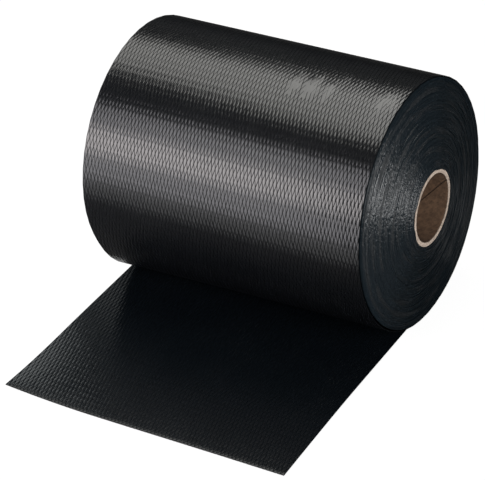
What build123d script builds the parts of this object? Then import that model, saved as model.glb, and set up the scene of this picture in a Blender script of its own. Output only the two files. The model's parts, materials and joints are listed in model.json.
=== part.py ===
"""Roll of damp proof course: an embossed polyethylene strip wound on a paper core, its free end laid out flat."""

import os
from math import asin, degrees

from build123d import *

# Driving dimensions, in millimetres
strip_width = 225.0  # along the axis of the roll
strip_thickness = 0.82  # over the embossing, so also the pitch of the turns
roll_diameter = 186.0  # over the outermost turn
core_bore = 50.8  # a two inch paper core
core_wall = 3.0
core_edge = 0.3  # bevel of the cut inner rims
tail_length = 210.0  # free end, from the line under the axis to the cut
tail_contact = 6.0  # how far the turn above stays pressed on the free end
end_lead = 9.0  # how far the innermost turns have slid along the axis, past the outermost
turn_bands = 12  # groups of turns that have slid together and show as steps on both ends

# Radii and places that follow from them
roll_radius = roll_diameter / 2
core_radius = core_bore / 2 + core_wall
band_depth = (roll_radius - core_radius) / turn_bands
band_lead = end_lead / (turn_bands - 1)
axis_y = (tail_length - roll_radius) / 2
outer_turn_x = -(strip_width + end_lead) / 2
inner_turn_x = outer_turn_x + end_lead

roll_axis = Axis((0, axis_y, roll_radius), (1, 0, 0))
axial_plane = Plane(origin=(0, axis_y, roll_radius), x_dir=(1, 0, 0), z_dir=(0, -1, 0))
outer_end_plane = Plane(origin=(outer_turn_x, axis_y, 0), x_dir=(0, 1, 0), z_dir=(1, 0, 0))
core_end_plane = Plane(origin=(inner_turn_x, axis_y, roll_radius), x_dir=(0, 1, 0), z_dir=(1, 0, 0))


def band_edge(first_x):
    """Stepped line from the second band in to the core, as (axial, radial) points, for one end of the roll."""
    points = []
    for band in range(1, turn_bands):
        slid_x = first_x + band * band_lead
        points.append((slid_x, roll_radius - band * band_depth))
        points.append((slid_x, roll_radius - (band + 1) * band_depth))
    return points


# The strip: its outermost turns and free end are one section, and the turns inside them step along the axis
with BuildPart() as membrane_roll:
    with BuildSketch(outer_end_plane) as outer_turns:
        # The last turn grows by one thickness on its way round, as two half circles with shifted centres
        front_radius = roll_radius - strip_thickness / 2
        front_centre = (0, roll_radius + strip_thickness / 2)
        contact_angle = degrees(asin(tail_contact / front_radius))
        with BuildLine():
            back_half = CenterArc((0, roll_radius), roll_radius, -90, 180)
            front_half = CenterArc(front_centre, front_radius, 90, 180 - contact_angle)
            Polyline(
                front_half @ 1,
                (-tail_contact, strip_thickness),
                (-tail_length, strip_thickness),
                (-tail_length, 0),
                back_half @ 0,
            )
        make_face()
        with Locations((0, roll_radius)):
            Circle(roll_radius - band_depth, mode=Mode.SUBTRACT)
    extrude(amount=strip_width)

    with BuildSketch(axial_plane) as inner_turns:
        with BuildLine():
            cored_end = band_edge(outer_turn_x + strip_width)
            sunk_end = band_edge(outer_turn_x)
            Polyline(*cored_end, *reversed(sunk_end), close=True)
        make_face()
    revolve(axis=roll_axis)
membrane_roll.part.label = "membrane_roll"

# The paper core, flush with the innermost turns
with BuildPart() as core_tube:
    with BuildSketch(core_end_plane):
        Circle(core_radius)
        Circle(core_bore / 2, mode=Mode.SUBTRACT)
    extrude(amount=strip_width)
    bore_rims = core_tube.edges().filter_by(GeomType.CIRCLE).group_by(SortBy.RADIUS)[0]
    chamfer(bore_rims, core_edge)
core_tube.part.label = "core_tube"

os.makedirs("parts", exist_ok=True)
for piece in (membrane_roll, core_tube):
    export_step(piece.part, f"parts/{piece.part.label}.step")
    print(piece.part.label, "solids", len(piece.part.solids()), "volume", round(piece.part.volume))
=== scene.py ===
# %% [markdown]
# # A roll of damp proof course
# Damp proof course is a black polyethylene strip that bricklayers bed in the mortar
# near the foot of a wall. It is sold wound on a paper core. This lesson winds one
# roll from its flat strip, lays its free end on the floor, and lights it as in a
# plain studio. The packed CAD model gives every main size, so it is loaded first.

# %% Load the CAD frame
import json
import math
import random

import bmesh
import bpy
from mathutils import Matrix, Vector, noise


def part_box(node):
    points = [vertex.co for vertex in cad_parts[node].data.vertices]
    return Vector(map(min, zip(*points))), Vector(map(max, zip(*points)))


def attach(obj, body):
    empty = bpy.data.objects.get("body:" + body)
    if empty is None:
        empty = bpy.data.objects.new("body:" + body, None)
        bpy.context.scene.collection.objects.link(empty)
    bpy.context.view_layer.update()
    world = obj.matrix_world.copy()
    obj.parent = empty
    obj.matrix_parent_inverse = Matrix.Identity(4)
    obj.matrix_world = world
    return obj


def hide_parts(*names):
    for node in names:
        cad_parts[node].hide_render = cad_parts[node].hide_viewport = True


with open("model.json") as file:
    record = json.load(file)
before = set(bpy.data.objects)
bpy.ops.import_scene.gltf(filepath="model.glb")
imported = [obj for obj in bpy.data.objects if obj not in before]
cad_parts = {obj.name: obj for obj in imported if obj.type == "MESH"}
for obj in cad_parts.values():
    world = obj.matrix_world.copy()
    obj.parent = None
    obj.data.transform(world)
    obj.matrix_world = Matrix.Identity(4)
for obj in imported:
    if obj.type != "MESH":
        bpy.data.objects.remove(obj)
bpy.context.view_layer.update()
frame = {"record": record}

# %% [markdown]
# ## Sizes
# Nothing is measured twice: the roll's radius, the free end and the core all come
# out of the boxes of the two CAD nodes. The bore's radius is in the record's mount.

# %% Read the sizes
roll_low, roll_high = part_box("membrane_roll")
core_low, core_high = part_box("core_tube")
roll_radius = roll_high.z / 2
core_radius = (core_high.z - core_low.z) / 2
bore_radius = frame["record"]["mounts"][0]["dims"]["r_mm"] / 1000
axis_y = roll_high.y - roll_radius
tail_length = axis_y - roll_low.y
strip_width = core_high.x - core_low.x
end_lead = roll_high.x - roll_low.x - strip_width
outer_turn_x = roll_low.x + strip_width / 2
print("radius", roll_radius, "strip", strip_width, "free end", tail_length, "lead", end_lead)

# %% [markdown]
# ## Camera
# The photograph was taken from far off with a long lens, about thirty degrees to the
# right of the free end and as much above the floor. The place and the turn below were
# found by fitting the roll's outline, so the place is given from the roll's axis on
# the floor, in radii of the roll.

# %% Place the camera
photo_width = 485
focal_pixels = 2489.3
sensor_width = 36.0
radii_away = Vector((8.465, -14.225, 11.226))
degrees_turned = (56.68, 3.23, 29.83)
farthest_seen = 50
camera = bpy.data.objects.new("camera", bpy.data.cameras.new("camera"))
camera.data.sensor_width = sensor_width
camera.data.lens = focal_pixels / photo_width * sensor_width
camera.location = Vector((outer_turn_x, axis_y, 0)) + roll_radius * radii_away
camera.rotation_euler = [math.radians(turn) for turn in degrees_turned]
camera.data.clip_end = farthest_seen
bpy.context.collection.objects.link(camera)
bpy.context.scene.camera = camera
print("camera", camera.location, "lens", round(camera.data.lens, 1))

# %% [markdown]
# ## Shader sums
# A finish is easier to read as a sum than as a web of nodes. This small class wraps
# one socket. Adding or multiplying two of them adds the Math node for it, and every
# other kind of node comes from the one method `node`.

# %% The socket class
class Signal:
    """One output socket of a node tree, which can be used in sums."""

    def __init__(self, tree, socket=None):
        self.tree = tree
        self.socket = socket

    def node(self, kind, inputs=None, output=0, **settings):
        """Add any node: its settings first, then the values or links of its sockets."""
        made = self.tree.nodes.new(kind)
        for name, value in settings.items():
            setattr(made, name, value)
        for name, value in (inputs or {}).items():
            if isinstance(value, Signal):
                self.tree.links.new(value.socket, made.inputs[name])
            else:
                made.inputs[name].default_value = value
        return Signal(self.tree, made.outputs[output] if made.outputs else None)

    def math(self, operation, *values):
        """Add a Math node."""
        return self.node("ShaderNodeMath", dict(enumerate(values)), operation=operation)

    def __add__(self, other):
        return self.math("ADD", self, other)

    def __sub__(self, other):
        return self.math("SUBTRACT", self, other)

    def __rsub__(self, other):
        return self.math("SUBTRACT", other, self)

    def __mul__(self, other):
        return self.math("MULTIPLY", self, other)

    def __truediv__(self, other):
        return self.math("DIVIDE", self, other)

    def __rtruediv__(self, other):
        return self.math("DIVIDE", other, self)

    __radd__ = __add__
    __rmul__ = __mul__


print("sums of signals:", sorted(name for name in vars(Signal) if name.startswith("__r")))

# %% [markdown]
# The same few steps come back in every finish: blend two colours, lay noise over a
# place, turn a slow change into a clear mask. Each is a helper, so that the finishes
# below read like recipes.

# %% Helpers for finishes
def new_finish(name):
    """An empty node material: returns the material and a signal to hang nodes on."""
    material = bpy.data.materials.new(name)
    material.use_nodes = True
    material.node_tree.nodes.clear()
    return material, Signal(material.node_tree)


def mix(factor, first, second):
    """Blend two colours by a signal. A Mix node has its colours at sockets 6, 7 and 2."""
    wanted = {0: factor, 6: first, 7: second}
    return factor.node("ShaderNodeMix", wanted, output=2, data_type="RGBA")


def noise_field(place, scale, detail=4.0, roughness=0.55, stretch=(1, 1, 1)):
    """Soft noise from 0 to 1 over a place, stretched along its axes."""
    moved = place.node("ShaderNodeMapping", {"Vector": place, "Scale": stretch})
    wanted = {"Vector": moved, "Scale": scale, "Detail": detail, "Roughness": roughness}
    return place.node("ShaderNodeTexNoise", wanted, output="Fac")


def smooth_between(value, low, high):
    """0 below low, 1 above high and an even rise between."""
    wanted = {"Value": value, "From Min": low, "From Max": high}
    return value.node("ShaderNodeMapRange", wanted, interpolation_type="SMOOTHSTEP")


def part_of(place, axis):
    """One coordinate of a place."""
    return place.node("ShaderNodeSeparateXYZ", {"Vector": place}, output=axis)


def close_finish(shader):
    """Put a shader on the material's output."""
    shader.node("ShaderNodeOutputMaterial", {"Surface": shader})


print("helpers ready")

# %% [markdown]
# ## The black film
# The film is polyethylene coloured with carbon black. It is nearly black in itself,
# so almost all that is seen of it is gloss: a satin skin, duller where it was rubbed
# and with a little pale site dust. A picture of gloss could be painted on, but it
# would be wrong from every other side. So only colour and roughness change slowly
# over the surface, and a fine bump gives the slight orange peel of the skin.

# %% Film finish
film_ior = 1.51
cloud_scale, speck_scale = 14.0, 2600.0
speck_range, dusty_range = (0.70, 0.78), (0.45, 0.75)
dust_share = 0.35
site_dust = (0.16, 0.16, 0.155, 1)
cloud_dulls, grain_dulls = 0.06, 0.02
peel_depth = 0.0001


def film_finish(name, blacks, smoothest, gloss, peel=0.12, grains=900.0):
    """Black polyethylene: gloss first, with slow changes, dust and a fine peel."""
    material, wire = new_finish(name)
    place = wire.node("ShaderNodeTexCoord", output="Object")
    cloud = noise_field(place, cloud_scale)
    grain = noise_field(place, grains, detail=2.0)
    speck = smooth_between(noise_field(place, speck_scale, detail=1.0), *speck_range)
    dust = dust_share * speck * smooth_between(cloud, *dusty_range)
    colour = mix(cloud, *blacks)
    colour = mix(dust, colour, site_dust)
    roughness = smoothest + cloud_dulls * cloud + grain_dulls * grain
    bump = wire.node("ShaderNodeBump", {"Height": grain, "Strength": peel, "Distance": peel_depth})
    close_finish(wire.node("ShaderNodeBsdfPrincipled", {
        "Base Color": colour, "Roughness": roughness, "Normal": bump,
        "IOR": film_ior, "Specular IOR Level": gloss,
    }))
    print(name, len(material.node_tree.nodes), "nodes")
    return material


pad_blacks = (0.0014, 0.0016, 0.0021, 1), (0.0034, 0.0038, 0.0046, 1)
film = film_finish("black_film", pad_blacks, smoothest=0.15, gloss=0.5)

# %% [markdown]
# The embossing rollers polish the tops of the pattern and leave the grooves between
# dull. The side that lies upwards on the free end was the inside of the roll: it is
# flatter, a little bluish and has a coarser peel, which breaks up what it mirrors.
# The two long edges were slit by a knife and hardly shine. One film needs these five
# finishes, and all of them come from the recipe above.

# %% The other faces of the film
groove_blacks = (0.0016, 0.0018, 0.0022, 1), (0.0034, 0.0038, 0.0044, 1)
inside_blacks = (0.0012, 0.0019, 0.0027, 1), (0.0024, 0.0034, 0.0044, 1)
slit_blacks = (0.0010, 0.0012, 0.0015, 1), (0.0022, 0.0026, 0.0032, 1)
coarse = {"peel": 0.8, "grains": 420.0}
film_groove = film_finish("black_film_groove", groove_blacks, smoothest=0.32, gloss=0.13)
film_inside = film_finish("black_film_inside", inside_blacks, smoothest=0.15, gloss=0.15, **coarse)
film_inside_groove = film_finish(
    "black_film_inside_groove", inside_blacks, smoothest=0.34, gloss=0.03, **coarse
)
film_slit = film_finish("black_film_slit", slit_blacks, smoothest=0.55, gloss=0.04)

# %% [markdown]
# The slit edges of all the turns together make the two ends of the roll. There the
# knife's bruises show, and every turn is bent a little on its own. So the noise is
# laid out round the roll's axis: dashes of a few millimetres that follow the turns,
# and duller rings that stand for a few turns lying deeper, with their shade painted in
# as a darker colour. Plain noise would cross the turns and look like stone. The
# outermost turns are rubbed, and shine less than the others.

# %% Edge finish
dashes = {"radial": 560.0, "around": 20.0}
rings = {"radial": 300.0, "around": 1.6}
edge_blacks = (0.0036, 0.0062, 0.0086, 1), (0.0076, 0.0120, 0.0154, 1)
# The rings' darker colour is painted shade, standing for turns that lie deeper.
ring_shade_black = (0.0022, 0.0042, 0.0060, 1)
ring_range, ring_shade_share = (0.49, 0.38), 0.7
edge_smoothest, dash_dulls, ring_dulls = 0.24, 0.12, 0.30
bruise_strength, bruise_depth = 0.8, 0.0010


def turned_field(place, radial, around):
    """Noise that follows the turns: so many changes per metre of radius and per radian."""
    back, up = part_of(place, "Y") - axis_y, part_of(place, "Z") - roll_radius
    radius = place.math("SQRT", back * back + up * up)
    spot = {"X": radial * radius, "Y": around * back / radius, "Z": around * up / radius}
    return noise_field(place.node("ShaderNodeCombineXYZ", spot), 1.0, detail=2.0)


def edge_finish(name, gloss):
    """The slit edges of the turns, with bruises along them and dull rings of painted shade."""
    material, wire = new_finish(name)
    place = wire.node("ShaderNodeTexCoord", output="Object")
    dash = turned_field(place, **dashes)
    ring = smooth_between(turned_field(place, **rings), *ring_range)
    colour = mix(dash, *edge_blacks)
    # Painted shade: the rings are darkened towards a deeper black.
    colour = mix(ring_shade_share * ring, colour, ring_shade_black)
    roughness = edge_smoothest + dash_dulls * dash + ring_dulls * ring
    bruise = {"Height": dash, "Strength": bruise_strength, "Distance": bruise_depth}
    bump = wire.node("ShaderNodeBump", bruise)
    close_finish(wire.node("ShaderNodeBsdfPrincipled", {
        "Base Color": colour, "Roughness": roughness, "Normal": bump,
        "IOR": film_ior, "Specular IOR Level": gloss,
    }))
    print(name, len(material.node_tree.nodes), "nodes")
    return material


film_edge = edge_finish("film_edge", gloss=0.5)
film_rim = edge_finish("film_rim", gloss=0.14)

# %% [markdown]
# ## Winding
# The strip is thought of as flat first: x across it, y along it from the cut end, z
# up from the face that ends up outside. One function then carries any point of the
# flat strip to its place on the roll. The first stretch stays flat on the floor as
# the free end. The rest runs on under the axis, up the back, over the top and down
# the front, a little nearer to the axis with every turn.
#
# A roll is never wound quite true. The inner turns have slid along the axis, so the
# near end stands out like a very flat cone, and that end also leans: its rim stands
# out a few millimetres at the foot and lies back at the top. The slide wanders a
# little from turn to turn. Noise that depends on the turn and on the angle gives
# this without a seam.

# %% How far each turn has slid
turn_pitch = 0.00082
outer_bands = 0.006
end_lean = 0.0039
end_twist = 0.00125
tail_shift = -0.0012
settle_angle = 2.1
wander_reach, wander_rate, wander_swing = 0.0009, 0.9, 2.2
drift_reach, drift_rate, drift_swing, drift_row = 0.0005, 0.11, 0.4, 4.7


def smooth_step(value):
    """An even rise from 0 to 1."""
    value = min(1.0, max(0.0, value))
    return value * value * (3 - 2 * value)


def slide(across, depth, turned):
    """How far along the axis a point has slid, from its depth below the roll's outside."""
    steady = max(0.0, depth - outer_bands) / (roll_radius - core_radius - outer_bands)
    turn = turned / math.tau
    low, back = math.cos(turned), math.sin(turned)
    wander = noise.noise(Vector((wander_rate * turn, wander_swing * low, wander_swing * back)))
    drift = noise.noise(Vector((drift_rate * turn, drift_row, drift_swing * back)))
    wander = min(1.0, depth / outer_bands) * (wander_reach * wander + drift_reach * drift)
    lean = (end_lean * low + end_twist * back) * (0.5 + across / strip_width)
    settled = smooth_step(turned / settle_angle)
    return end_lead * steady + wander + tail_shift * (1 - settled) + lean * settled * (1 - steady)


print("slide at the core", round(slide(0, roll_radius - core_radius, 0), 4))

# %% [markdown]
# Three looser movements are added. The sheet was rolled up for a long time, so the
# far corner and the cut of the free end curl off the floor and the rest ripples. The
# outermost turn sags at the front of the foot, most at the far end. It is also slack
# in front, which leaves a dark gap inside it on the ends of the roll. A cloth
# simulation could find such shapes, but a few smooth sums are easier to fit to the
# photograph and always give the same result.

# %% Curl, sag and slack
curl_height, curl_reach = 0.0034, 0.075
cut_curl_height, cut_curl_reach = 0.0003, 0.045
ripple_height, ripple_fade = 0.0006, 0.08
ripple_across, ripple_along, ripple_row = 9, 11, 3.1
sag_depth, sag_angle = 0.0045, math.radians(68)
sag_forward, sag_to_far_end = 0.8, 1.5
slack_least, slack_most = 0.0003, 0.0024
slack_turn, slack_start, slack_rise = 0.3, 0.3, 0.8
slack_depth = 0.025


def lift(across, along):
    """The free end's cut and far corner curl up a little off the floor, and the sheet ripples."""
    corner = Vector((across + strip_width / 2, along)).length
    curl = curl_height * max(0.0, 1 - corner / curl_reach) ** 2
    curl += cut_curl_height * max(0.0, 1 - along / cut_curl_reach) ** 2
    flat = min(1.0, max(0.0, (tail_length - along) / ripple_fade))
    spot = Vector((ripple_across * across, ripple_along * along, ripple_row))
    ripple = 0.5 + 0.5 * noise.noise(spot)
    return curl + ripple_height * flat * ripple


def sag(across, turned):
    """The outermost turn hangs a little loose at the front of the foot, most at the far end."""
    past = (math.tau - turned) / sag_angle
    if not 0 < past < 1:
        return 0.0
    bulge = math.sin(math.pi * past**sag_forward) ** 2
    return sag_depth * bulge * (0.5 - across / strip_width) ** sag_to_far_end


def slack(turned, depth):
    """The outermost turn is loose in front, which leaves a dark gap inside it on the ends."""
    loose = slack_least + slack_most * max(0.0, -math.sin(turned + slack_turn))
    begun = smooth_step((turned - math.tau - slack_start) / slack_rise)
    return loose * begun * max(0.0, 1 - depth / slack_depth)


print("curl of the far corner", lift(-strip_width / 2, 0))

# %% [markdown]
# Now the function itself. The length wound so far gives the angle turned, because
# the strip's own side area fills the ring that is already wound. The angle gives the
# depth, and angle and depth give the place. Working from the length keeps the
# pattern at its true size on every turn. The free end doesn't lie quite straight: it
# bends a little towards the near side on its way to the cut.

# %% The winding function
tail_spread, spread_reach = 0.0018, 0.12


def wind(point):
    """Carry a point of the flat strip to its place on the floor or on the roll."""
    across, along, height = point
    if along <= tail_length:
        spread = tail_spread * max(0.0, 1 - along / spread_reach) ** 2
        x = outer_turn_x + across + spread + tail_shift
        return Vector((x, roll_low.y + along, height + lift(across, along)))
    wound = along - tail_length
    depth = roll_radius - math.sqrt(roll_radius**2 - wound * turn_pitch / math.pi)
    turned = depth * math.tau / turn_pitch
    reach = roll_radius - depth - height - slack(turned, depth) + sag(across, turned)
    x = outer_turn_x + across + slide(across, depth, turned)
    return Vector((x, axis_y + reach * math.sin(turned), roll_radius - reach * math.cos(turned)))


strip_length = tail_length + math.pi * (roll_radius**2 - core_radius**2) / turn_pitch
turn_count = round((roll_radius - core_radius) / turn_pitch)
print("strip wound up", round(strip_length, 2), "m in", turn_count, "turns")

# %% [markdown]
# ## A piece from a mesh
# Each piece ends the same way: the bmesh becomes an object at the origin, gets its
# materials, rides on the one body of the roll and, if it replaces a CAD part, hides it.
# A wound strip can come out inside out, because Blender only makes its faces agree
# with each other, so the sign of the volume decides which way is out.

# %% Finish a piece
def make_piece(name, bm, materials, replaced=None):
    """Turn a bmesh into a piece of the roll, and print how large it is."""
    mesh = bpy.data.meshes.new(name)
    bm.to_mesh(mesh)
    bm.free()
    for material in materials:
        mesh.materials.append(material)
    piece = bpy.data.objects.new(name, mesh)
    bpy.context.collection.objects.link(piece)
    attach(piece, "root")
    if replaced:
        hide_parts(replaced)
    mesh.calc_loop_triangles()
    print(name, len(mesh.loop_triangles), "triangles")


def all_parts(bm):
    """Every vertex, edge and face, as bisecting wants them."""
    return bm.verts[:] + bm.edges[:] + bm.faces[:]


def face_outwards(bm):
    """Turn all faces of a closed mesh outwards."""
    bmesh.ops.recalc_face_normals(bm, faces=bm.faces)
    if bm.calc_volume(signed=True) < 0:
        bmesh.ops.reverse_faces(bm, faces=bm.faces)
    print("closed volume", round(bm.calc_volume(signed=True) * 1e6, 1), "cm3")


print("ready to finish pieces")

# %% [markdown]
# ## Outer turn and free end
# The embossing is a net of long diamonds, 77 across the strip and 12 mm long. It
# could be bump alone, but the diamonds catch the light one by one, so they are real.
# A square grid turned by 45 degrees and stretched is such a net.

# %% Flat net of diamonds
diamonds_across, diamonds_along = 77, 68
diamond_across = strip_width / diamonds_across
diamond_along = 0.012
embossed_length = diamonds_along * diamond_along
spare_cells = 6
net_cells = diamonds_across + diamonds_along + spare_cells

strip = bmesh.new()
bmesh.ops.create_grid(strip, x_segments=net_cells, y_segments=net_cells, size=net_cells / 2)
quarter = Matrix.Rotation(math.pi / 4, 3, "Z")
bmesh.ops.rotate(strip, verts=strip.verts, cent=(0, 0, 0), matrix=quarter)
stretch = Vector((diamond_across, diamond_along, 1)) / math.sqrt(2)
bmesh.ops.scale(strip, verts=strip.verts, vec=(stretch.x, stretch.y, 1))
print("net of", len(strip.faces), "diamonds")

# %% [markdown]
# The net is trimmed to the strip the way the film is slit: four straight cuts, which
# leave half diamonds along the edges. It covers the free end and a little more than
# one turn. Then it gets the film's thickness, so that the strip is closed all round.

# %% Trim to the strip and give it thickness
film_body = 0.00042
pad_height = 0.00016
weld = 1e-6
bmesh.ops.translate(strip, verts=strip.verts, vec=(0, embossed_length / 2, 0))
for edge_point, outward in (
    ((-strip_width / 2, 0, 0), (-1, 0, 0)),
    ((strip_width / 2, 0, 0), (1, 0, 0)),
    ((0, 0, 0), (0, -1, 0)),
    ((0, embossed_length, 0), (0, 1, 0)),
):
    bmesh.ops.bisect_plane(
        strip, geom=all_parts(strip), dist=weld, plane_co=edge_point, plane_no=outward, clear_outer=True
    )
bmesh.ops.solidify(strip, geom=strip.faces[:], thickness=film_body)
low = min(vert.co.z for vert in strip.verts)
bmesh.ops.translate(strip, verts=strip.verts, vec=(0, 0, pad_height - low))
strip.normal_update()
print("strip faces", len(strip.faces), "height", low, max(vert.co.z for vert in strip.verts))

# %% [markdown]
# Every diamond is inset and raised as a pad with sloping sides. The pattern was
# rolled in from the outside, so the pads are higher there. Only the part of the
# inside that can be seen, the laid side of the free end, gets its own shallow pads.
# Cut diamonds are smaller and get a narrower margin, or the inset would fold over.

# %% Raise the pads
pad_margin = 0.00026
cut_margin = 0.6 * pad_margin
laid_height = 0.00008
laid_overlap = 0.02
whole_share = 0.7
faces_along = 0.9


def is_whole(face):
    """A diamond that the trim has not cut."""
    return face.calc_area() > whole_share * diamond_across * diamond_along / 2


outer_pads = [face for face in strip.faces if face.normal.z < -faces_along]
upper_faces = [face for face in strip.faces if face.normal.z > faces_along]
laid_end = tail_length + laid_overlap
laid_pads = [face for face in upper_faces if face.calc_center_median().y < laid_end]
for pads, margin, height in (
    ([face for face in outer_pads if is_whole(face)], pad_margin, pad_height),
    ([face for face in outer_pads if not is_whole(face)], cut_margin, pad_height),
    ([face for face in laid_pads if is_whole(face)], pad_margin, laid_height),
    ([face for face in laid_pads if not is_whole(face)], cut_margin, laid_height),
):
    bmesh.ops.inset_individual(strip, faces=pads, thickness=margin, depth=height, use_even_offset=True)
heights = [vert.co.z for vert in strip.verts]
print("pads", len(outer_pads), len(laid_pads), "heights", min(heights), max(heights))

# %% [markdown]
# Now each face takes its finish while the strip is still flat, because here a plain
# test of height or direction tells the faces apart. The pads are shaded smooth and
# their sloping sides flat, so each pad mirrors the lamps and the grooves stay dark.

# %% Give every face its finish
outer_pad, outer_groove, laid_pad, laid_groove, slit_side = range(5)
film_faces = [film, film_groove, film_inside, film_inside_groove, film_slit]
over_middle = 0.6
laid_side = pad_height + over_middle * film_body
strip.normal_update()
for face in strip.faces:
    is_laid = face.calc_center_median().z > laid_side
    face.material_index = laid_groove if is_laid else outer_groove
    if abs(face.normal.x) > faces_along:
        face.material_index = slit_side
for face in outer_pads + laid_pads:
    face.smooth = True
    face.material_index = outer_pad if face.normal.z < 0 else laid_pad
print("finishes", [material.name for material in film_faces])

# %% [markdown]
# No two pads are quite alike: each leans and is sunk by a few hundredths of a
# millimetre, which makes the light sparkle unevenly over the net. The points of every
# pad are also drawn in, so that two triangles shade like a piece of the round roll. The
# laid side has the shallower pattern, so its pads lean and bend much less.

# %% Tip the pads
random.seed(7)
pad_tip = 0.000134
pad_half_length = 0.005
pad_sink = 0.00001
lean_across, lean_along = 0.014, 0.006
laid_share = 0.3
for face in outer_pads + laid_pads:
    outward = face.normal.z
    bent = 1.0 if outward < 0 else laid_share
    sink, tip_x, tip_y = (random.gauss(0, bent) for _ in range(3))
    centre = face.calc_center_median()
    for vert in face.verts:
        away = vert.co - centre
        tip = bent * pad_tip * (away.y / pad_half_length) ** 2
        leaned = lean_across * tip_x * away.x + lean_along * tip_y * away.y
        vert.co.z -= outward * (tip + pad_sink * abs(sink) + leaned)
print("tipped", len(outer_pads) + len(laid_pads), "pads")

# %% [markdown]
# In a few places the roll was pressed and the net was flattened, which shows in the
# light as a smooth patch. The patches fade out slowly, as a dent in soft film does,
# and more and more grooves are pressed out towards the middle and shine like the pads.
# Blender may list new faces in another order on the next run, so they are sorted by
# place before the draws. The knife that cut off the free end slanted under the sheet,
# so the cut's lower edge is drawn back and the sheet ends in a thin upper lip.

# %% Press a few patches flat
# Each patch: its middle across and along the strip, half its width and length, and
# how flat it is in the middle.
pressed = (
    (0.0295, 0.522, 0.0045, 0.0105, 0.75),
    (0.0420, 0.521, 0.0050, 0.0115, 0.90),
    (0.0565, 0.524, 0.0038, 0.0090, 0.75),
    (0.1000, 0.522, 0.0065, 0.0120, 0.60),
)
patch_fade = 1.5
at_the_cut = 1e-5


def pressed_flat(point):
    """Most in the middle of a pressed patch and 0 outside all of them."""
    most = 0.0
    for across, along, half_width, half_length, strength in pressed:
        off = math.hypot((point.x - across) / half_width, (point.y - along) / half_length)
        most = max(most, strength * smooth_step(patch_fade - off))
    return most


def place_of(face):
    """Where a face lies, as a key to sort by."""
    return face.calc_center_median()[:]


grooves = [face for face in strip.faces if face.material_index == outer_groove]
touched = [face for face in grooves if pressed_flat(face.calc_center_median()) > 0]
touched.sort(key=place_of)
pressed_out = [face for face in touched if random.random() < pressed_flat(face.calc_center_median())]
for face in pressed_out:
    face.material_index = outer_pad
    face.smooth = True
half_way = pad_height + film_body / 2
for vert in strip.verts:
    if vert.co.z < half_way:
        vert.co.z *= 1 - pressed_flat(vert.co)
        vert.co.y += film_body if vert.co.y < at_the_cut else 0.0
print("pressed patches", len(pressed), "grooves pressed out", len(pressed_out))

# %% [markdown]
# Winding comes last, when the flat strip has all its detail. One pass over the
# vertices carries the strip to the floor and round the roll. The pads are split into
# triangles across their short way, so that none of them can twist.

# %% Wind the outer turn
for vert in strip.verts:
    vert.co = wind(vert.co)
face_outwards(strip)
smooth_pads = [face for face in strip.faces if face.smooth]
bmesh.ops.triangulate(strip, faces=smooth_pads, quad_method="SHORT_EDGE")
make_piece("outer_turn", strip, film_faces, "membrane_roll")

# %% [markdown]
# ## Inner turns
# The rest of the strip is only seen by its edges, on the two ends. Rings drawn on a
# flat disc would be simpler, but they would have no gaps to take the shadow. So it
# is one long ribbon, about 29 m, wound by the same function, and its turns are a true
# spiral with air between them. It has a narrow margin along each side, where the
# finish of the edges goes round the corner.

# %% Long ribbon
ribbon_overlap = 0.004
ribbon_start = embossed_length - ribbon_overlap
ribbon_length = strip_length - ribbon_start
ribbon_steps = 8200
ribbon_body = 0.00060
ribbon_gap = 0.0001
edge_margin = 0.0012
ribbon = bmesh.new()
bmesh.ops.create_grid(ribbon, x_segments=3, y_segments=ribbon_steps, size=0.5)
columns = sorted({round(vert.co.x, 4) for vert in ribbon.verts})
half = strip_width / 2
across_of = dict(zip(columns, (-half, edge_margin - half, half - edge_margin, half)))
for vert in ribbon.verts:
    vert.co.x = across_of[round(vert.co.x, 4)]
    vert.co.y = ribbon_start + (vert.co.y + 0.5) * ribbon_length
bmesh.ops.solidify(ribbon, geom=ribbon.faces[:], thickness=ribbon_body)
low = min(vert.co.z for vert in ribbon.verts)
bmesh.ops.translate(ribbon, verts=ribbon.verts, vec=(0, 0, ribbon_gap - low))
print("ribbon", round(ribbon_length, 2), "m,", len(ribbon.faces), "faces")

# %% [markdown]
# A slow wave in the ribbon's height stands for the embossing, which makes the gaps
# between the turns open and close. The slit edges are cut a little on the slant. Each
# side of the ribbon is shaded smooth along its length, with a sharp edge round the
# slit side, so that every turn catches the light by itself. The outermost turns take
# the rubbed finish, and noise along the strip makes its border ragged.

# %% Wind the ribbon
edge_slant = 0.15
wave_height = 0.00007
rim_turns, rim_ragged, rim_rate, rim_row = 4.5, 3.0, 25, 0.5
corner_tilt = 0.5
ribbon_side, slit_edge, rubbed_edge = range(3)
ribbon_faces = [film, film_edge, film_rim]
for face in ribbon.faces:
    face.smooth = True
    face.material_index = ribbon_side
    across, along, _ = face.calc_center_median()
    if abs(across) > half - edge_margin:
        turns_in = (along - tail_length) / (math.tau * roll_radius)
        rubbed = rim_turns + rim_ragged * noise.noise(Vector((rim_rate * along, rim_row, rim_row)))
        face.material_index = rubbed_edge if turns_in < rubbed else slit_edge
for vert in ribbon.verts:
    wave = wave_height * math.sin(math.tau * vert.co.y / diamond_along)
    vert.co = wind(vert.co + Vector((edge_slant * vert.co.z, 0, wave)))
face_outwards(ribbon)
for edge in ribbon.edges:
    middle = (edge.verts[0].co + edge.verts[1].co) / 2
    inward = Vector((0, axis_y - middle.y, roll_radius - middle.z)).normalized()
    tilts = sorted(face.normal.dot(inward) for face in edge.link_faces)
    edge.smooth = tilts[1] - tilts[0] < corner_tilt or tilts[0] < -corner_tilt
make_piece("inner_turns", ribbon, ribbon_faces)
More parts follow.
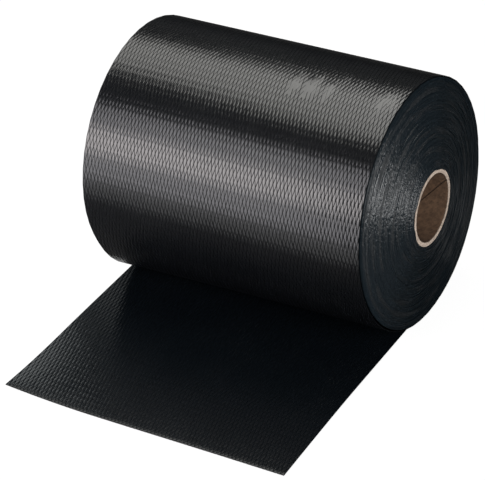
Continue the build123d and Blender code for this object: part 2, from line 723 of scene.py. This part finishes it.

# %% [markdown]
# ## Paper core
# The core is a tube of brown paper, glued up in plies. Paper is matt, with fibres
# drawn out one way, soft blotches and darker flecks. Where the saw went through, it is
# pale and a little ragged, also on the first fraction of a millimetre of the bore. One
# recipe serves the lining, the tube's wall behind its seam, which is painted dark brown
# as the shade inside the seam, and the sawn ends.

# %% Paper finishes
lip_start, lip_end = core_high.x + 0.0009, core_high.x + 0.0012
lip_ragged = 0.0022
lip_pale = (0.34, 0.275, 0.225, 1)
fibre_scale, blotch_scale, fleck_scale = 700.0, 330.0, 1100.0
fibre_share, blotch_share, fleck_share, lip_share = 0.55, 0.45, 0.5, 0.6
blotch_range, fleck_range = (0.30, 0.70), (0.60, 0.70)
blotch_dulls, fleck_black = 0.08, 0.35
fibre_strength, fibre_depth = 0.35, 0.0003
tape_browns = (0.038, 0.0185, 0.0092, 1), (0.158, 0.090, 0.050, 1)
# Painted shade: the tube's wall is this dark so that the lining's seam shows as a dark line.
seam_shade_browns = (0.018, 0.010, 0.006, 1), (0.040, 0.023, 0.014, 1)
sawn_browns = (0.13, 0.096, 0.072, 1), (0.42, 0.34, 0.28, 1)


def paper_finish(name, browns, rough, over="Object", stretch=(0.25, 1, 1)):
    """Paper with fibres drawn out one way, blotches and darker flecks; its sawn lip is pale."""
    material, wire = new_finish(name)
    place = wire.node("ShaderNodeTexCoord", output="Object")
    drawn_out = wire.node("ShaderNodeTexCoord", output=over)
    fibre = noise_field(drawn_out, fibre_scale, stretch=stretch)
    blotch = smooth_between(noise_field(place, blotch_scale, detail=3.0), *blotch_range)
    fleck = smooth_between(noise_field(place, fleck_scale, detail=2.0), *fleck_range)
    fleck_brown = [fleck_black * part for part in browns[0][:3]] + [1]
    colour = mix(fibre_share * fibre + blotch_share * blotch, *browns)
    colour = mix(fleck_share * fleck, colour, fleck_brown)
    lip = smooth_between(part_of(place, "X") + lip_ragged * fibre, lip_start, lip_end)
    colour = mix(lip_share * lip, colour, lip_pale)
    raised = {"Height": fibre, "Strength": fibre_strength, "Distance": fibre_depth}
    bump = wire.node("ShaderNodeBump", raised)
    close_finish(wire.node("ShaderNodeBsdfPrincipled", {
        "Base Color": colour, "Roughness": rough + blotch_dulls * blotch, "Normal": bump,
    }))
    print(name, len(material.node_tree.nodes), "nodes")
    return material


tape_paper = paper_finish("brown_tape_paper", tape_browns, rough=0.78, over="UV", stretch=(1, 0.2, 1))
# The dark paper of the tube's wall paints the shade inside the lining's seam.
seam_shade_paper = paper_finish("seam_shade_paper", seam_shade_browns, rough=0.6)
sawn_paper = paper_finish("sawn_paper", sawn_browns, rough=0.86)

# %% [markdown]
# The wall of the tube is drawn once, as the outline of its section. The plies show on
# the sawn ends as fine rings, so the section's two short sides get a point at every
# ply, and the points between two plies are sunk a tenth of a millimetre. A flat grid
# one unit wide gives the outline once its faces and its inner rungs are taken out.

# %% Section of the tube
plies = 6
ply_groove = 0.00012
lining = 0.00022
wall_low = bore_radius + lining
rung_least, end_rung = 0.5, 0.49
core = bmesh.new()
bmesh.ops.create_grid(core, x_segments=1, y_segments=2 * plies, size=0.5)
bmesh.ops.delete(core, geom=core.faces[:], context="FACES_ONLY")
crossing = [edge for edge in core.edges if edge.calc_length() > rung_least]
rungs = [edge for edge in crossing if abs(edge.verts[0].co.y) < end_rung]
bmesh.ops.delete(core, geom=rungs, context="EDGES")
for vert in core.verts:
    step = round((vert.co.y + 0.5) * 2 * plies)
    sunk = ply_groove if step % 2 == 0 and 0 < step < 2 * plies else 0.0
    vert.co.x = (core_low.x + core_high.x) / 2 + vert.co.x * (strip_width - 2 * sunk)
    vert.co.z = roll_radius + wall_low + (vert.co.y + 0.5) * (core_radius - wall_low)
    vert.co.y = axis_y
print("section of", len(core.edges), "edges")

# %% [markdown]
# The section is spun round the roll's axis, as the real tube was wound round a bar.
# The last step meets the first, so the doubles are merged before the faces are turned
# outwards. The sawn ends keep a sharp corner against the wall.

# %% Spin the tube
tube_steps = 120
end_facing = 0.5
seam_shaded_wall, sawn = range(2)
bmesh.ops.spin(
    core, geom=core.verts[:] + core.edges[:], cent=(0, axis_y, roll_radius), axis=(1, 0, 0),
    angle=math.tau, steps=tube_steps, use_merge=True,
)
bmesh.ops.remove_doubles(core, verts=core.verts, dist=weld)
face_outwards(core)
for face in core.faces:
    face.smooth = True
    # The wall faces take the dark paper that paints the shade inside the lining's seam.
    face.material_index = sawn if abs(face.normal.x) > end_facing else seam_shaded_wall
for edge in core.edges:
    edge.smooth = len({face.material_index for face in edge.link_faces}) == 1
make_piece("core_tube_paper", core, [seam_shade_paper, sawn_paper], "core_tube")

# %% [markdown]
# The innermost ply is a paper tape wound inside the tube like the stripe on a pole.
# Its edges don't quite meet, which leaves the slanting seam that is seen in the bore.
# A painted line would do from afar, but a real gap takes a real shadow. The wall
# behind the gap is painted dark brown as well, as painted shade. The tape is made flat
# with its thickness, and a UV map keeps its fibres along it once it is wound.

# %% Flat tape
tape_lead = 0.140
seam_gap = 0.0011
spare_turns, turns_ahead = 1.15, 0.05
tape_turns = strip_width / tape_lead + spare_turns
tape_columns, steps_per_turn = 24, 96
tape_steps = round(steps_per_turn * tape_turns)
lining_tape = bmesh.new()
bmesh.ops.create_grid(lining_tape, x_segments=tape_columns, y_segments=tape_steps, size=0.5)
for vert in lining_tape.verts:
    vert.co.x = (vert.co.x + 0.5) * (tape_lead - seam_gap)
    vert.co.y = turns_ahead + (vert.co.y - 0.5) * tape_turns
bmesh.ops.solidify(lining_tape, geom=lining_tape.faces[:], thickness=lining)
fibres = lining_tape.loops.layers.uv.new("fibres")
turn_length = math.hypot(tape_lead, math.tau * bore_radius)
for face in lining_tape.faces:
    face.smooth = True
    for loop in face.loops:
        loop[fibres].uv = (loop.vert.co.x, loop.vert.co.y * turn_length)
print("tape of", round(tape_turns, 2), "turns,", round(tape_turns * turn_length, 3), "m long")

# %% [markdown]
# On the real tube the tape is wound first and everything is sawn to length together.
# Here too the tape is wound on the slant past both ends, and two cuts take it off
# flush. The cuts are filled, so that the lining is closed.

# %% Wind and saw the tape
seam_angle = math.radians(22.6)
sawn_short = 0.0002
fine_weld = 1e-7
sharp_angle = 0.5
low = min(vert.co.z for vert in lining_tape.verts)
for vert in lining_tape.verts:
    across, turns, height = vert.co
    angle = seam_angle + math.tau * turns
    reach = bore_radius + (height - low)
    x = core_high.x + tape_lead * turns + across
    vert.co = (x, axis_y + reach * math.cos(angle), roll_radius + reach * math.sin(angle))
for end_x, outward in ((core_low.x + sawn_short, -1), (core_high.x - sawn_short, 1)):
    bmesh.ops.bisect_plane(
        lining_tape, geom=all_parts(lining_tape), dist=fine_weld,
        plane_co=(end_x, 0, 0), plane_no=(outward, 0, 0), clear_outer=True,
    )
    open_edges = [edge for edge in lining_tape.edges if edge.is_boundary]
    filled = bmesh.ops.holes_fill(lining_tape, edges=open_edges, sides=0)
    for face in filled["faces"]:
        face.material_index = sawn
        face.smooth = False
face_outwards(lining_tape)
for edge in lining_tape.edges:
    edge.smooth = edge.calc_face_angle(0.0) < sharp_angle
make_piece("core_lining", lining_tape, [tape_paper, sawn_paper])

# %% [markdown]
# ## Floor
# The floor is a plain sheet, just under the roll, and large enough for every view. It
# is no part of the roll.

# %% Floor
floor_reach, floor_drop, floor_cells = 6, 0.0002, 8
floor_mesh = bmesh.new()
bmesh.ops.create_grid(floor_mesh, x_segments=floor_cells, y_segments=floor_cells, size=floor_reach)
bmesh.ops.translate(floor_mesh, verts=floor_mesh.verts, vec=(0, 0, -floor_drop))
floor_data = bpy.data.meshes.new("studio_floor")
floor_mesh.to_mesh(floor_data)
floor_mesh.free()
floor = bpy.data.objects.new("studio_floor", floor_data)
bpy.context.collection.objects.link(floor)
print(floor.name, "size", list(floor.dimensions))

# %% [markdown]
# The floor is pale. Seen by the camera it glows a little, which keeps the background
# white without more light on the roll, and it still takes the roll's shadow. Mirrored
# in the film it is dark: the photograph shows a dark studio in the black gloss, with
# only soft boxes and a few pale cards in it, and a white floor would hide them all.

# %% Floor paint
glow_share, glow_strength = 0.92, 1.04
pale_grey, dark_grey = (0.80, 0.80, 0.80, 1), (0.05, 0.05, 0.05, 1)
floor_paint, wire = new_finish("floor_paint")
seen = wire.node("ShaderNodeLightPath", output="Is Camera Ray")
mirrored = wire.node("ShaderNodeLightPath", output="Is Glossy Ray")
pale = wire.node("ShaderNodeBsdfDiffuse", {"Color": pale_grey})
dark = wire.node("ShaderNodeBsdfDiffuse", {"Color": dark_grey})
matt = wire.node("ShaderNodeMixShader", {0: mirrored, 1: pale, 2: dark})
glow = wire.node("ShaderNodeEmission", {"Color": (1, 1, 1, 1), "Strength": glow_strength})
close_finish(wire.node("ShaderNodeMixShader", {0: glow_share * seen, 1: matt, 2: glow}))
floor_data.materials.append(floor_paint)
print(floor_paint.name, len(floor_paint.node_tree.nodes), "nodes")

# %% [markdown]
# ## Light
# A black gloss surface shows its lamps rather than its own colour, so the lamps are
# placed by what the roll mirrors. A lamp is set by the brightness it has in a mirror,
# and its energy follows from its size. Most are boxes along the roll, given by their
# two long edges, and the others stand somewhere and are aimed at a point.

# %% Lamp helpers
def add_lamp(name, place, turn, size, radiance, colour):
    """An area lamp that gives the wanted brightness where it is mirrored."""
    lamp = bpy.data.lights.new(name, "AREA")
    lamp.shape = "RECTANGLE"
    lamp.size, lamp.size_y = size
    lamp.energy = radiance * math.pi * lamp.size * lamp.size_y
    lamp.color = colour
    box = bpy.data.objects.new(name, lamp)
    box.location = place
    box.rotation_euler = turn.to_euler()
    box.visible_camera = False
    bpy.context.collection.objects.link(box)
    print(name, [round(part, 2) for part in place], [round(part, 2) for part in size])


def long_box(name, first_edge, second_edge, x_span, radiance, colour=(1, 1, 1)):
    """A lamp along the roll, between two long edges, each (y, z) from the roll's axis."""
    first, second = Vector((0, *first_edge)), Vector((0, *second_edge))
    middle = (first + second) / 2
    up = (second - first).normalized()
    side = Vector((1, 0, 0))
    if side.cross(up).dot(middle) < 0:
        side = -side
    turn = Matrix((side, up, side.cross(up))).transposed()
    place = middle + Vector((sum(x_span) / 2, axis_y, roll_radius))
    add_lamp(name, place, turn, (x_span[1] - x_span[0], (second - first).length), radiance, colour)


def aimed_box(name, place, target, size, radiance, colour=(1, 1, 1)):
    """A lamp that stands at a place and faces a target, both from the middle of the roll."""
    middle = Vector((outer_turn_x, axis_y, roll_radius))
    turn = (Vector(target) - Vector(place)).to_track_quat("-Z", "Y").to_matrix()
    add_lamp(name, middle + Vector(place), turn, size, radiance, colour)


print("ready to place lamps")

# %% [markdown]
# Two soft boxes hang over the roll, end to end, and give the upper light band with its
# step. Two tall boxes stand in front, also end to end, each with a brighter tube in it,
# and give the lower band and its bright middle. The far ones are higher or brighter, so
# that band grows weaker towards the near end. A weak box at the back lifts the top, and
# a large one far to the right lights the near end and the paper.

# %% Soft boxes
warm, cool = (1.0, 0.99, 0.95), (0.95, 1.0, 1.0)
violet, rosy = (0.98, 0.96, 1.0), (1.0, 0.92, 0.89)
overhead, overhead_joint = 0.757, -0.33
in_front, front_foot, front_joint, front_end = -0.45, -0.085, -0.355, -0.62
tube_low, tube_high, tube_joint = (-0.445, 0.09), (-0.445, 0.28), -0.19
long_box("near_overhead_box", (-0.20, overhead), (0.73, overhead), (overhead_joint, 0.15), 4.4, warm)
long_box("far_overhead_box", (-0.01, overhead), (0.56, overhead), (-0.85, overhead_joint), 3.6, warm)
long_box("back_box", (1.00, 0.70), (1.15, 0.25), (-1.3, 0.1), 0.05, cool)
long_box("near_front_box", (in_front, front_foot), (in_front, 0.55), (front_joint, 0.0), 3.8, violet)
long_box("far_front_box", (in_front, front_foot), (in_front, 0.62), (front_end, front_joint), 3.8, violet)
long_box("near_front_tube", tube_low, tube_high, (tube_joint, -0.01), 3.7, rosy)
long_box("far_front_tube", tube_low, tube_high, (front_end, tube_joint), 4.9, rosy)
aimed_box("side_box", (1.25, -0.45, 0.42), (0, 0, 0), (1.0, 0.65), 10.2)

# %% [markdown]
# Pale cards stand for what a white floor and a bright corner of the studio add to the
# gloss: one on the floor in front, small ones beside the foot at both ends, and two
# beyond the far end, which give the sheen on the free end. A lamp can be laid exactly
# where the reflection is wanted, which a bounced light could not.

# %% Pale cards
on_floor = -0.092
long_box("front_card", (-0.24, on_floor), (-0.44, on_floor), (-0.55, 0.10), 0.95)
long_box("back_card", (0.06, on_floor), (0.19, on_floor), (0.118, 0.20), 0.3)
long_box("far_foot_card", (-0.054, on_floor), (0.06, on_floor), (-0.16, -0.1205), 0.65)
far_card_place, far_card_target = (-0.244, 0.004, 0.042), (-0.119, -0.192, -0.101)
aimed_box("far_card", far_card_place, far_card_target, (0.045, 0.095), 3.3, cool)
far_strip_place, far_strip_target = (-0.233, 0.087, 0.0395), (-0.123, -0.094, -0.093)
aimed_box("far_strip", far_strip_place, far_strip_target, (0.036, 0.054), 1.25, cool)

# %% [markdown]
# The air of the studio is dim, so that the shadows of the roll are not quite black.
# The camera itself sees white there, as behind a product on a page.

# %% World
dim_air, white_air = (0.024, 0.026, 0.028, 1), (1, 1, 1, 1)
world = bpy.data.worlds.new("studio_air")
world.use_nodes = True
world.node_tree.nodes.clear()
air = Signal(world.node_tree)
seen = air.node("ShaderNodeLightPath", output="Is Camera Ray")
dim = air.node("ShaderNodeBackground", {"Color": dim_air})
white = air.node("ShaderNodeBackground", {"Color": white_air})
backdrop = air.node("ShaderNodeMixShader", {0: seen, 1: dim, 2: white})
air.node("ShaderNodeOutputWorld", {"Surface": backdrop})
bpy.context.scene.world = world
bpy.context.scene.view_settings.view_transform = "Standard"
print(world.name, len(bpy.data.lights), "lamps")
